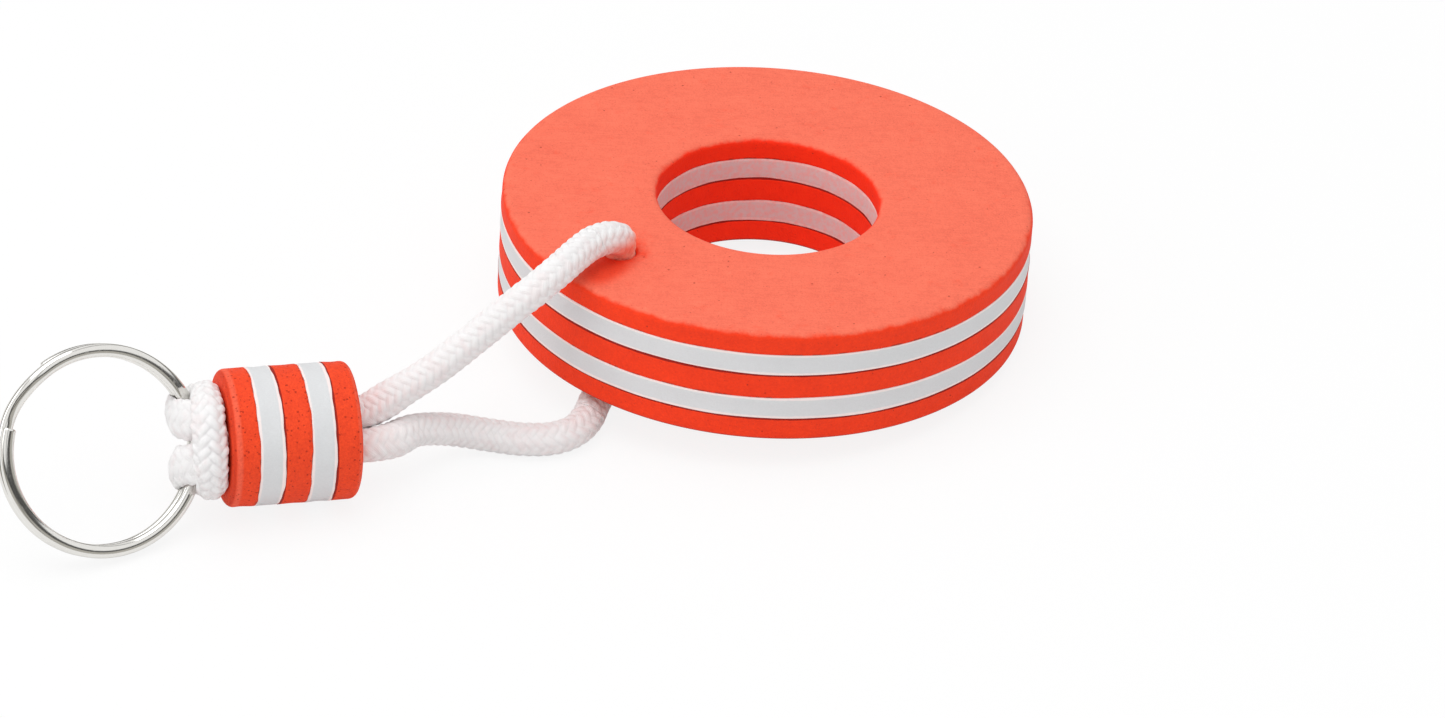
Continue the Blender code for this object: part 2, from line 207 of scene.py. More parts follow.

# Colours that the sidebar doesn't offer: glue, wear, painted light and shade, and the plain white
# of lamps
GLUE_AND_GROOVE_SHADE_RED = (0.24, 0.006, 0.003)
SMUDGE_RED = (0.25, 0.030, 0.018)
FOOT_SHADE_RED = (0.32, 0.010, 0.005)
PORE_RED = (0.32, 0.014, 0.007)
FLECK_RED = (0.42, 0.020, 0.010)
BORDER_HIGHLIGHT_PALE = (0.97, 0.82, 0.79)
ORANGE_BOUNCE_ON_FOAM = (0.92, 0.36, 0.33)
CORD_CAST = (0.84, 0.74, 0.74)
CORD_GROOVE_SHADE = (0.68, 0.62, 0.63)
ORANGE_BOUNCE_ON_CORD = (1.0, 0.24, 0.13)
NICKEL_CLOUD = (0.70, 0.68, 0.63)
WHITE = (1.0, 1.0, 1.0, 1.0)

# The stage
FLOOR_SIZE = 8.0
FLOOR_BELOW_PART = 0.00002


# What the sidebar offers


def colour_choice(name, description, default):
    return bpy.props.FloatVectorProperty(
        name=name, description=description, subtype="COLOR", size=3, min=0.0, max=1.0,
        default=default,
    )


def length_choice(name, description, low, high, default):
    return bpy.props.FloatProperty(
        name=name, description=description, subtype="DISTANCE", unit="LENGTH", min=low,
        max=high, default=default,
    )


def power_choice(name, description, default):
    return bpy.props.FloatProperty(
        name=name, description=description, unit="POWER", min=0.0, max=60.0, default=default,
    )


class FoamSettings(bpy.types.PropertyGroup):
    orange: colour_choice(
        "Orange", "Colour of the foam ring's orange foam where it is cut", (0.88, 0.041, 0.006),
    )
    barrel_orange: colour_choice(
        "Orange barrel", "Colour of the barrel's orange foam where it is cut",
        (0.83, 0.058, 0.013),
    )
    # Painted light: a brighter orange for inside the ring's hole, against the shade there
    hole_light_orange: colour_choice(
        "Orange hole", "Colour of the orange foam inside the ring's hole", (1.0, 0.030, 0.003),
    )
    # Painted sheen and highlight: the pale orange painted on the ring's faces and the barrel's
    # rounded edges
    sheen_highlight_orange: colour_choice(
        "Orange face", "Colour of the orange foam on its flat, sanded faces",
        (0.87, 0.157, 0.091),
    )
    white: colour_choice("White", "Colour of the white foam", (0.70, 0.71, 0.72))
    edge_round: length_choice(
        "Edge round", "How far the outer edges of a foam stack are pressed round",
        0.0003, 0.0018, 0.0011,
    )
    border_wave: length_choice(
        "Border wave", "How far a border between two layers strays from level",
        0.0, 0.0004, 0.00009,
    )


class CordSettings(bpy.types.PropertyGroup):
    colour: colour_choice("Cord", "Colour of the braided cord", (0.86, 0.85, 0.85))
    diameter: length_choice(
        "Diameter", "Thickness of the cord over its braid", 0.003, 0.006, 0.0047,
    )
    strands: bpy.props.IntProperty(
        name="Strands each way",
        description="How many strands run round the cord each way; an even number",
        min=4,
        max=16,
        default=8,
    )
    plait: length_choice(
        "Plait length", "Length along the cord in which a strand moves on by one place",
        0.001, 0.005, 0.0013,
    )
    relief: length_choice("Relief", "How deep the braid's grooves are", 0.0, 0.001, 0.00027)


class WireSettings(bpy.types.PropertyGroup):
    colour: colour_choice("Plating", "Colour of the nickel plating", (0.80, 0.79, 0.765))
    steps: bpy.props.IntProperty(
        name="Steps per turn",
        description="How finely one turn of the wire is modelled",
        min=32,
        max=1024,
        default=560,
    )


class StageSettings(bpy.types.PropertyGroup):
    floor: colour_choice("Floor", "Colour of the floor", (0.88, 0.88, 0.88))
    ambient: bpy.props.FloatProperty(
        name="Ambient",
        description="Strength of the even light from all round",
        min=0.0,
        max=2.0,
        default=0.70,
    )
    key_power: power_choice("Overhead power", "Power of the large lamp overhead", 4.2)
    side_power: power_choice(
        "Side power", "Power of the soft lamp at the split ring's side", 1.3,
    )


# Shader maths


class Signal:
    """One socket of a shader. A sum written on it adds its Math node."""

    def __init__(self, finish, socket):
        self.finish = finish
        self.socket = socket

    def calculate(self, operation, *values):
        return self.finish.node("ShaderNodeMath", {"operation": operation}, dict(enumerate(values)))

    def __add__(self, other):
        return self.calculate("ADD", self, other)

    def __radd__(self, other):
        return self.calculate("ADD", other, self)

    def __sub__(self, other):
        return self.calculate("SUBTRACT", self, other)

    def __rsub__(self, other):
        return self.calculate("SUBTRACT", other, self)

    def __mul__(self, other):
        return self.calculate("MULTIPLY", self, other)

    def __truediv__(self, other):
        return self.calculate("DIVIDE", self, other)

    def __abs__(self):
        return self.calculate("ABSOLUTE", self)

    def floor(self):
        return self.calculate("FLOOR", self)

    def sine(self):
        return self.calculate("SINE", self)

    def root(self):
        return self.calculate("SQRT", self)

    def above(self, limit):
        return self.calculate("GREATER_THAN", self, limit)

    def between(self, low, high):
        """0 at low, 1 at high and smooth between them."""
        settings = {"interpolation_type": "SMOOTHSTEP"}
        return self.finish.node("ShaderNodeMapRange", settings, {0: self, 1: low, 2: high})


class Finish:
    """A material or a world under construction."""

    def __init__(self, name, world=False):
        store = bpy.data.worlds if world else bpy.data.materials
        self.made = store.new(name)
        self.made.use_nodes = True
        self.tree = self.made.node_tree
        self.tree.nodes.clear()

    def node(self, kind, settings=None, values=None, output=0):
        """Adds a node, sets its own settings, then gives its sockets their values or links."""
        made = self.tree.nodes.new(kind)
        for name, value in (settings or {}).items():
            setattr(made, name, value)
        for key, value in (values or {}).items():
            if isinstance(value, Signal):
                self.tree.links.new(value.socket, made.inputs[key])
            else:
                made.inputs[key].default_value = value
        return Signal(self, made.outputs[output]) if len(made.outputs) else made

    def mix(self, factor, first, second, blend="MIX"):
        """Mixes two colours, each an output of a node or three numbers."""
        settings = {"data_type": "RGBA", "blend_type": blend}
        values = {0: factor, 6: self.colour(first), 7: self.colour(second)}
        return self.node("ShaderNodeMix", settings, values, output=2)

    def shaded(self, tone, red, green, blue):
        """The tone, made darker or lighter in each of its channels."""
        shade = self.node("ShaderNodeCombineColor", None, {0: red, 1: green, 2: blue})
        return self.mix(1.0, tone, shade, "MULTIPLY")

    @staticmethod
    def colour(value):
        return value if isinstance(value, Signal) else (*value, 1.0)

    def local_mm(self, matrix):
        """Object coordinates in a piece's own frame, in millimetres."""
        place = self.node("ShaderNodeTexCoord", output=3)
        return self.node(
            "ShaderNodeMapping",
            {"vector_type": "TEXTURE"},
            {0: place, 1: matrix.to_translation(), 2: matrix.to_euler(), 3: (MM, MM, MM)},
        )

    def parts(self, vector):
        split = self.tree.nodes.new("ShaderNodeSeparateXYZ")
        self.tree.links.new(vector.socket, split.inputs[0])
        return [Signal(self, socket) for socket in split.outputs]

    def stretch(self, vector, scale):
        values = {0: vector, 1: scale}
        return self.node("ShaderNodeVectorMath", {"operation": "MULTIPLY"}, values)

    def noise(self, vector, scale, rough=0.6, detail=3.0):
        values = {"Vector": vector, "Scale": scale, "Detail": detail, "Roughness": rough}
        return self.node("ShaderNodeTexNoise", {"noise_dimensions": "3D"}, values)

    def cells(self, vector, scale, output=0):
        values = {"Vector": vector, "Scale": scale}
        return self.node("ShaderNodeTexVoronoi", {"feature": "F1"}, values, output)

    def bump(self, height, strength, distance):
        return self.node(
            "ShaderNodeBump", None, {"Height": height, "Strength": strength, "Distance": distance}
        )

    def surface(self, shader, kind="ShaderNodeOutputMaterial"):
        self.node(kind, None, {"Surface": shader})
        return self.made

    def principled(self, **values):
        named = {name.replace("_", " "): value for name, value in values.items()}
        return self.surface(self.node("ShaderNodeBsdfPrincipled", None, named))


# Frames and routes


def ring_frame():
    hinge = Vector((math.sin(RING_LIFTED_SIDE), -math.cos(RING_LIFTED_SIDE), 0.0))
    place = Matrix.Translation((*RING_CENTRE, RING_BASE_HEIGHT))
    return place @ Matrix.Rotation(RING_TILT, 4, hinge)


def along_barrel(roll):
    """The barrel's frame at its hitch end: Z runs towards the foam ring, X is turned by roll."""
    along = Vector((
        math.cos(BARREL_LIFT) * math.cos(BARREL_HEADING),
        math.cos(BARREL_LIFT) * math.sin(BARREL_HEADING),
        -math.sin(BARREL_LIFT),
    ))
    level = Vector((-math.sin(BARREL_HEADING), math.cos(BARREL_HEADING), 0.0))
    across = math.cos(roll) * level + math.sin(roll) * along.cross(level)
    turned = Matrix((across, along.cross(across), along)).transposed().to_4x4()
    origin = Vector(BARREL_CENTRE) - along * sum(BARREL_LAYERS) / 2.0
    return Matrix.Translation(origin) @ turned


def split_ring_frame():
    axis = Vector(SPLIT_RING_NORMAL).normalized()
    level = Vector((0.0, 0.0, 1.0)).cross(axis).normalized()
    steep = axis.cross(level)
    stack = WIRE_THICKNESS + COIL_GAP / 2.0 - WIRE_CORNER_ROUND
    height = (SPLIT_RING_RADIUS - WIRE_CORNER_ROUND) * steep.z + stack * abs(axis.z)
    turned = Matrix((level, steep, axis)).transposed().to_4x4()
    return Matrix.Translation((*SPLIT_RING_CENTRE, height + WIRE_CORNER_ROUND)) @ turned


def smooth_route(points, between):
    """Catmull-Rom points through the route's own. A point may carry a thickness as well."""
    points = [np.array(point, float) for point in points]
    ends = [2.0 * points[0] - points[1]] + points + [2.0 * points[-1] - points[-2]]
    route = []
    for a, b, c, d in zip(ends, ends[1:], ends[2:], ends[3:]):
        for step in range(between):
            t = step / between
            route.append(
                0.5 * (2.0 * b + (c - a) * t + (2.0 * a - 5.0 * b + 4.0 * c - d) * t * t
                       + (3.0 * b - a - 3.0 * c + d) * t * t * t)
            )
    return np.array(route + [points[-1]])


def evenly(route, spacing):
    """The same line with its points at equal distances."""
    steps = np.linalg.norm(np.diff(route[:, :3], axis=0), axis=1)
    run = np.concatenate(([0.0], np.cumsum(steps)))
    count = max(2, round(run[-1] / spacing) + 1)
    places = np.linspace(0.0, run[-1], count)
    return np.stack([np.interp(places, run, route[:, k]) for k in range(route.shape[1])], 1)


def length_of(route):
    return float(np.linalg.norm(np.diff(route[:, :3], axis=0), axis=1).sum())


# Modelling by hand


def deselect_all():
    if bpy.context.object and bpy.context.object.mode != "OBJECT":
        bpy.ops.object.mode_set(mode="OBJECT")
    bpy.ops.object.select_all(action="DESELECT")


def only(obj):
    deselect_all()
    obj.select_set(True)
    bpy.context.view_layer.objects.active = obj


def pick(obj, kind, test):
    """In edit mode, selects just the vertices, edges or faces that pass the test."""
    bpy.ops.mesh.select_mode(type={"verts": "VERT", "edges": "EDGE", "faces": "FACE"}[kind])
    bpy.ops.mesh.select_all(action="DESELECT")
    shape = bmesh.from_edit_mesh(obj.data)
    for element in getattr(shape, kind):
        if test(element):
            element.select_set(True)
    shape.select_flush_mode()
    bmesh.update_edit_mesh(obj.data)


def apply_modifiers(obj):
    only(obj)
    for modifier in list(obj.modifiers):
        bpy.ops.object.modifier_apply(modifier=modifier.name)


def settle(obj, matrix):
    """Puts a piece that was modelled at the origin in its place, with the place in its mesh."""
    only(obj)
    obj.matrix_world = matrix
    bpy.ops.object.transform_apply(location=True, rotation=True, scale=True)


def dress(obj, material, body, node):
    """Gives a piece its material, hides the CAD node that it stands for and hangs it under its
    body, when it has one.
    """
    obj.data.materials.clear()
    obj.data.materials.append(material)
    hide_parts(node)
    if body:
        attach(obj, body)


def move_points(obj, change):
    """Sculpts a mesh in code: change takes and gives an array of points."""
    mesh = obj.data
    points = np.empty(len(mesh.vertices) * 3)
    mesh.vertices.foreach_get("co", points)
    mesh.vertices.foreach_set("co", change(points.reshape(-1, 3)).ravel())
    mesh.update()


def moved_by(matrix, points):
    """An array of points, turned and moved by a matrix."""
    values = np.array(matrix)
    return points @ values[:3, :3].T + values[:3, 3]


# Foam


def border_wave(number, angle, height):
    """How far a border between two layers strays from level, round the stack."""
    if number in (0, LAYERS):
        return np.zeros_like(angle)
    shift = 1.7 * number
    return height * (
        0.55 * np.sin(2.0 * angle + shift)
        + 0.50 * np.sin(5.0 * angle + 2.3 * shift)
        + 0.30 * np.sin(11.0 * angle + 3.1 * shift)
        + 0.18 * np.sin(23.0 * angle + 0.7 * shift)
    )


def turned_layer(name, inner, outer, low, high, number, round_edge, steps, cuts):
    """One foam layer: a flat section, its corners pressed round, spun about the stack's axis."""
    deselect_all()
    bpy.ops.mesh.primitive_plane_add(size=1.0)
    layer = bpy.context.object
    layer.name = name
    layer.data.name = name
    bpy.ops.object.mode_set(mode="EDIT")
    bpy.ops.mesh.select_all(action="SELECT")
    middle = Vector(((inner + outer) / 2.0, 0.0, (low + high) / 2.0))
    bpy.ops.transform.resize(value=(outer - inner, high - low, 1.0))
    shape = bmesh.from_edit_mesh(layer.data)
    for vert in shape.verts:
        vert.co = middle + Vector((vert.co.x, 0.0, vert.co.y))
    bmesh.update_edit_mesh(layer.data)

    near = 1e-6
    at_foot = number == 0
    at_head = number == LAYERS - 1

    def is_end(vert):
        return at_foot if vert.co.z < middle.z else at_head

    pick(layer, "verts", lambda v: is_end(v) and v.co.x > inner + near)
    bpy.ops.mesh.bevel(offset=round_edge, segments=6, affect="VERTICES")
    if inner:
        pick(layer, "verts", lambda v: is_end(v) and v.co.x < inner + near)
        bpy.ops.mesh.bevel(offset=round_edge * HOLE_EDGE_SHARE, segments=5, affect="VERTICES")
    at_side = (inner, outer) if inner else (outer,)
    levels = [z for z, end in ((low, at_foot), (high, at_head)) if not end]
    pick(layer, "verts", lambda v: any(abs(v.co.x - x) < near for x in at_side)
         and any(abs(v.co.z - z) < near for z in levels))
    bpy.ops.mesh.bevel(offset=LAYER_CORNER_ROUND, segments=2, affect="VERTICES")
    pick(layer, "faces", lambda f: True)
    bpy.ops.mesh.delete(type="ONLY_FACE")
    if not inner:
        pick(layer, "edges", lambda e: e.verts[0].co.x < near and e.verts[1].co.x < near)
        bpy.ops.mesh.delete(type="EDGE")
    pick(layer, "edges", lambda e: abs(e.verts[0].co.z - e.verts[1].co.z) < near
         and e.calc_length() > SHORTEST_FACE_EDGE)
    bpy.ops.mesh.subdivide(number_cuts=cuts)
    pick(layer, "edges", lambda e: abs(e.verts[0].co.x - e.verts[1].co.x) < near
         and e.calc_length() > SHORTEST_SIDE_EDGE)
    bpy.ops.mesh.subdivide(number_cuts=5)
    bpy.ops.mesh.select_mode(type="VERT")
    bpy.ops.mesh.select_all(action="SELECT")
    bpy.ops.mesh.spin(steps=steps, angle=2.0 * math.pi, center=(0, 0, 0), axis=(0, 0, 1))
    bpy.ops.mesh.select_all(action="SELECT")
    bpy.ops.mesh.remove_doubles(threshold=0.000002)
    bpy.ops.mesh.normals_make_consistent(inside=False)
    bpy.ops.object.mode_set(mode="OBJECT")
    return layer


def soften_layer(layer, number, low, high, outer, wave):
    """Strays the layer's borders from level and its cut side from a true circle."""
    hollow, ripple, sway = 0.00006, 0.00005, 0.00004

    def change(points):
        x, y, z = points.T
        angle = np.arctan2(y, x)
        far = np.hypot(x, y)
        share = np.clip((z - low) / (high - low), 0.0, 1.0)
        below = border_wave(number, angle, wave)
        above = border_wave(number + 1, angle, wave)
        middle = 0.5 - 0.5 * np.cos(2.0 * math.pi * share)
        waist = (ripple * np.sin(9.0 * angle + 2.0 * number) - hollow) * middle
        waist += sway * np.sin(3.0 * angle + 1.3 * number)
        grown = 1.0 + np.where(far > outer * 0.9, waist / np.maximum(far, 1e-9), 0.0)
        moved = z + below * (1.0 - share) + above * share
        return np.stack([x * grown, y * grown, moved], 1)

    move_points(layer, change)


def bore_tool(name, straight, radius, length, low_round, high_round):
    """The solid that a bore is cut with: a rounded slot whose mouths open out."""
    overrun = 0.001

    def mouth(rounding):
        """How deep each section of a mouth lies and how much wider it is, from the face in."""
        turns = [math.radians(turn) for turn in (0.0, 30.0, 60.0, 90.0)]
        return [(rounding * math.sin(t), rounding * (1.0 - math.sin(t))) for t in turns]

    deselect_all()
    bpy.ops.mesh.primitive_circle_add(vertices=48, radius=radius, fill_type="NGON")
    tool = bpy.context.object
    tool.name = name
    bpy.ops.object.mode_set(mode="EDIT")
    for side in (1, -1):
        pick(tool, "verts", lambda v: v.co.x * side > 0.0)
        bpy.ops.transform.translate(value=(side * straight / 2.0, 0.0, 0.0))
    bpy.ops.mesh.select_mode(type="FACE")
    bpy.ops.mesh.select_all(action="SELECT")
    levels = [(-overrun, low_round)] + mouth(low_round)
    levels += [(length - depth, grown) for depth, grown in reversed(mouth(high_round))]
    levels.append((length + overrun, high_round))
    for _ in levels[1:]:
        bpy.ops.mesh.extrude_region_move(TRANSFORM_OT_translate={"value": (0.0, 0.0, 1.0)})
    shape = bmesh.from_edit_mesh(tool.data)
    for vert in shape.verts:
        level, grown = levels[round(vert.co.z)]
        centre = math.copysign(straight / 2.0, vert.co.x)
        away = Vector((vert.co.x - centre, vert.co.y))
        away = away.normalized() * (radius + grown)
        vert.co = Vector((centre + away.x, away.y, level))
    bmesh.update_edit_mesh(tool.data)
    bpy.ops.mesh.select_all(action="SELECT")
    bpy.ops.mesh.normals_make_consistent(inside=False)
    bpy.ops.object.mode_set(mode="OBJECT")
    return tool


def layer_levels(layers):
    """The borders of a stack's layers, from its foot to its head."""
    return [sum(layers[:number]) for number in range(len(layers) + 1)]


def build_stack(
        names, layers, inner, outer, matrix, tool, finishes, settings, wave, steps, cuts,
        press=None):
    """Models the layers of one foam stack, bores them and puts them in place.

    finishes are the orange one and the white one. steps is how many steps a layer is spun in,
    and cuts how often its flat faces are cut across, in the two end layers and in the others.
    press shapes the bored top layer further.
    """
    levels = layer_levels(layers)
    for number, name in enumerate(names):
        low, high = levels[number], levels[number + 1]
        layer = turned_layer(
            name + "_foam", inner, outer, low, high, number, settings.edge_round, steps,
            cuts[0] if number in (0, LAYERS - 1) else cuts[1],
        )
        soften_layer(layer, number, low, high, outer, wave)
        cut(layer, tool)
        if press and number == LAYERS - 1:
            press(layer, high)
        shade_by_angle(layer, SMOOTH_BELOW)
        settle(layer, matrix)
        dress(layer, finishes[number % 2], FLOAT_BODY, name)
    bpy.data.objects.remove(tool)


def press_mouth(layer, top):
    """Presses the upper face in a little round the cord."""

    def change(points):
        away = np.linalg.norm(points[:, :2] - np.array(CORD_HOLE.xy), axis=1)
        foot = top - MOUTH_DENT_DEPTH
        upper = np.clip((points[:, 2] - foot) / MOUTH_DENT_DEPTH, 0.0, 1.0)
        deep = np.exp(-((away - MOUTH_DENT_RADIUS) / MOUTH_DENT_REACH) ** 2)
        points[:, 2] -= MOUTH_DENT * deep * upper
        return points

    move_points(layer, change)


def cut(obj, tool):
    made = obj.modifiers.new("bore", "BOOLEAN")
    made.operation = "DIFFERENCE"
    made.solver = "EXACT"
    made.object = tool
    apply_modifiers(obj)


def shade_by_angle(obj, degrees):
    only(obj)
    bpy.ops.object.shade_smooth_by_angle(angle=math.radians(degrees))


def border_line(height, levels, waver, inner, outer):
    """1 on the given borders between layers, fading out from inner to outer millimetres away."""
    line = 0.0
    for level in levels:
        line = 1.0 - (abs(height - level) + waver).between(inner, outer) + line
    return line


def cord_shadow_share(x, y):
    """1 in the painted shadow of the cord's upper leg on the ring's face, by place on it in
    millimetres.
    """
    middle = (-22.6, -22.6)
    way = math.radians(236.0)
    along = (x - middle[0]) * math.cos(way) + (y - middle[1]) * math.sin(way)
    across = (y - middle[1]) * math.cos(way) - (x - middle[0]) * math.sin(way)
    reach = (along * along * 0.030 + across * across * 0.11).root()
    return 1.0 - reach.between(0.40, 1.25)


def orange_foam(name, matrix, levels, grooves, settings, pores, pore_share, grit, hole_radius=0.0):
    """Closed-cell foam: faces painted pale as a painted sheen, a deeper colour where it is cut, and
    open pores.

    grooves are the borders with a dark line of glue, darkened further as painted shade in the
    groove. pores is how many cells of the pore pattern go to a millimetre, and pore_share how many
    of them hold a pore. grit is how strong the grain is. Only the foam ring has a hole_radius: its
    foam is deeper and brighter in colour inside the hole, as painted light, and its faces are
    painted pale as a sheen, where the barrel has a painted highlight along its rounded edges alone.
    """
    foam = Finish(name)
    place = foam.local_mm(matrix)
    x, y, height = foam.parts(place)
    top = levels[-1]
    cut_tone = settings.barrel_orange
    if hole_radius:
        inside = 1.0 - (x * x + y * y).root().between(hole_radius + 0.3, hole_radius + 1.1)
        # Painted light: inside the hole the foam is painted a brighter orange
        cut_tone = foam.mix(inside, settings.orange, settings.hole_light_orange)
    patch = foam.noise(place, 0.16, 0.55)
    mottle = foam.noise(place, 0.75)
    grain = foam.noise(place, 2.8, 0.7)
    streak = foam.noise(foam.stretch(place, (0.35, 3.6, 3.6)), 1.0)
    fine = foam.cells(place, 3.4)
    stray = (foam.noise(place, 0.5) - 0.5) * 0.9
    # Painted sheen on the ring's flat faces; a painted highlight along the barrel's rounded edges
    if hole_radius:
        face = (height + stray).between(top - 0.60, top - 0.05)
        face = face + 1.0 - (height + stray).between(0.05, 0.60)
        # The cord's painted shadow: there the painted sheen gives way to the deeper cut colour
        face = face * (1.0 - cord_shadow_share(x, y) * height.above(top - 3.0) * 0.8)
    else:
        face = (1.0 - abs(height - 0.90).between(0.15, 0.60)) * 0.5
        face = face + (1.0 - abs(height - top + 0.45).between(0.05, 0.35)) * 0.35
    pit_way = foam.cells(place, pores)
    kind, size, _ = foam.parts(foam.cells(place, pores, output=1))
    pit_size = 0.03 + size * size * 0.09
    pit = 1.0 - ((pit_way / pores + (grain - 0.5) * 0.10 - pit_size) / 0.09).between(0.0, 1.0)
    pit = pit * kind.above(1.0 - pore_share)
    fleck_way = foam.cells(place, 1.3)
    fleck = 1.0 - ((fleck_way / 1.3 + (grain - 0.5) * 0.12) / 0.13).between(0.25, 1.0)
    light = 0.89 + patch * 0.12 + mottle * 0.17 + (grain - 0.5) * grit
    light = light + (streak - 0.5) * face * 0.16 - fine * 0.04
    deep = light * light
    tone = foam.shaded(foam.mix(face, cut_tone, settings.sheen_highlight_orange), light, deep, deep)
    waver = (foam.noise(place, 0.8, 0.65) - 0.5) * 0.22
    groove = border_line(height, grooves, waver, 0.15, 0.28)
    others = [level for level in levels[1:-1] if level not in grooves]
    smudge = border_line(height, others, waver, 0.08, 0.28) * mottle.between(0.47, 0.60)
    foot = 1.0 - abs(height - 0.28).between(0.08, 0.30)
    # A dark glue line along the grooves, darkened further as painted shade in the groove
    tone = foam.mix(groove * 0.90, tone, GLUE_AND_GROOVE_SHADE_RED)
    tone = foam.mix(smudge * 0.70, tone, SMUDGE_RED)
    # Painted shade: a dark band along the foot of the stack, strongest on the ring
    tone = foam.mix(foot * (0.75 if hole_radius else 0.35), tone, FOOT_SHADE_RED)
    tone = foam.mix(pit * 0.60, tone, PORE_RED)
    tone = foam.mix(fleck * 0.35, tone, FLECK_RED)
    relief = grain * 0.6 + fine * 0.4 + mottle * 0.5 + streak * face * 0.3 - pit * 1.8 - groove
    return foam.principled(
        Base_Color=tone,
        Roughness=0.62 + grain * 0.25 + pit * 0.1,
        Specular_IOR_Level=0.25,
        Normal=foam.bump(relief, 0.45, 0.0002),
    )


def white_foam(name, matrix, levels, glue, settings, hole_radius=0.0):
    """White foam with a fine grain and a painted highlight along its borders, widest where glue is.

    Inside the foam ring's hole the cut is rougher, and it has painted orange light bounced from the
    foam.
    """
    foam = Finish(name)
    place = foam.local_mm(matrix)
    x, y, height = foam.parts(place)
    patch = foam.noise(place, 0.22, 0.55)
    grain = foam.noise(place, 3.2, 0.7)
    crumb = foam.noise(place, 1.5, 0.7)
    fine = foam.cells(place, 3.6)
    waver = (foam.noise(place, 0.9) - 0.5) * 0.16
    others = [level for level in levels if level not in glue]
    glue_border_highlight = border_line(height, glue, waver, 0.26, 0.50)
    edge = border_line(height, others, waver, 0.20, 0.42)
    light = 0.915 + patch * 0.06 + grain * 0.08 - fine * 0.03
    tone = foam.shaded(settings.white, light, light, light)
    # Painted highlight: a pale line along every border, widest on the glued ones
    tone = foam.mix(glue_border_highlight * 0.85 + edge * 0.75, tone, BORDER_HIGHLIGHT_PALE)
    relief = grain * 0.5 + fine * 0.35
    if hole_radius:
        far = (x * x + y * y).root()
        inside = 1.0 - far.between(hole_radius + 0.4, hole_radius + 1.6)
        # Painted light: orange bounced from the hole's orange layers, patchy with the crumb
        orange_bounce = inside * (0.30 + crumb.between(0.35, 0.70) * 0.40)
        tone = foam.mix(orange_bounce, tone, ORANGE_BOUNCE_ON_FOAM)
        relief = relief + crumb * inside
    return foam.principled(
        Base_Color=tone,
        Roughness=0.66 + grain * 0.2,
        Specular_IOR_Level=0.3,
        Normal=foam.bump(relief, 0.35, 0.0002),
    )


# Cord


def braid_height(around, along):
    """Height of the braid over its lowest place, from 0 to 1, by place in the plait.

    Each strand passes over two of the other way and then under two.
    """
    a = around + along
    b = around - along
    row, column = np.floor(a), np.floor(b)
    heights = []
    for across, run in ((a - row, b + row), (b - column, a + column - 2.0)):
        float_share = np.mod(run, 4.0) / 2.0
        rise = np.sin(math.pi * np.minimum(float_share, 1.0)).clip(0.0, 1.0)
        crown = np.sqrt(1.0 - (2.0 * across - 1.0) ** 2 * 0.98)
        heights.append(rise ** 0.5 * crown ** 0.8)
    return np.maximum(*heights)


def braided_tube(name, route, first_length, settings, wider_along=None, lumps=0.0):
    """A tube along the route with the braid raised on it, and its place in the plait as UV.

    Each point of the route is x, y, z and the cord's thickness there. first_length is the
    length of cord before this piece, so that the plait runs on from piece to piece. Where
    wider_along is given, the cord is wider that way by the route's fifth number. lumps is how
    far a crumpled cord's surface strays from round.
    """
    relief = settings.relief + lumps
    sides = TUBE_SIDES
    centres = route[:, :3]
    thick = route[:, 3]
    count = len(centres)
    tangents = np.gradient(centres, axis=0)
    tangents /= np.linalg.norm(tangents, axis=1)[:, None]
    start = np.cross(tangents[0], (0.0, 0.0, 1.0) if abs(tangents[0][2]) < 0.9 else (1.0, 0.0, 0.0))
    normals = [start / np.linalg.norm(start)]
    for tangent in tangents[1:]:
        carried = normals[-1] - tangent * (normals[-1] @ tangent)
        normals.append(carried / np.linalg.norm(carried))
    normals = np.array(normals)
    binormals = np.cross(tangents, normals)
    steps = np.linalg.norm(np.diff(centres, axis=0), axis=1)
    run = first_length + np.concatenate(([0.0], np.cumsum(steps)))
    turn = np.arange(sides + 1) / sides
    around = turn * settings.strands
    along = run / settings.plait
    height = braid_height(around[None, :-1], along[:, None])
    radius = thick[:, None] / 2.0 - relief * (thick[:, None] / settings.diameter) * (1.0 - height)
    angle = 2.0 * math.pi * turn[:-1]
    lean = along[:, None] * 2.4 + 2.0 * np.cos(angle)[None, :]
    radius = radius + lumps * np.sin(lean) * np.sin(2.0 * angle[None, :] + along[:, None] * 0.9)
    outward = (
        normals[:, None, :] * np.cos(angle)[None, :, None]
        + binormals[:, None, :] * np.sin(angle)[None, :, None]
    )
    points = centres[:, None, :] + outward * radius[:, :, None]
    if wider_along is not None:
        wider = np.array(wider_along)
        way = wider - tangents * (tangents @ wider)[:, None]
        points += (outward @ way[:, :, None]) * way[:, None, :] * route[:, None, 4:5] / 2.0
    verts = points.reshape(-1, 3).tolist()
    faces = []
    for ring in range(count - 1):
        low = ring * sides
        for side in range(sides):
            after = (side + 1) % sides
            faces.append((low + side, low + after, low + sides + after, low + sides + side))
    faces.append(tuple(range(sides - 1, -1, -1)))
    faces.append(tuple((count - 1) * sides + side for side in range(sides)))
    mesh = bpy.data.meshes.new(name)
    mesh.from_pydata(verts, [], faces)
    plait = mesh.uv_layers.new(name="plait")
    corners = np.zeros((len(mesh.loops), 2), np.float32)
    ring_u = np.stack([turn[:-1], turn[1:], turn[1:], turn[:-1]], 1) * settings.strands
    body = np.empty((count - 1, sides, 4, 2), np.float32)
    body[..., 0] = ring_u[None]
    body[..., 0:2, 1] = along[:-1, None, None]
    body[..., 2:4, 1] = along[1:, None, None]
    corners[: (count - 1) * sides * 4] = body.reshape(-1, 2)
    plait.data.foreach_set("uv", corners.ravel())
    mesh.polygons.foreach_set("use_smooth", [True] * len(mesh.polygons))
    mesh.update()
    piece = bpy.data.objects.new(name, mesh)
    bpy.context.scene.collection.objects.link(piece)
    return piece


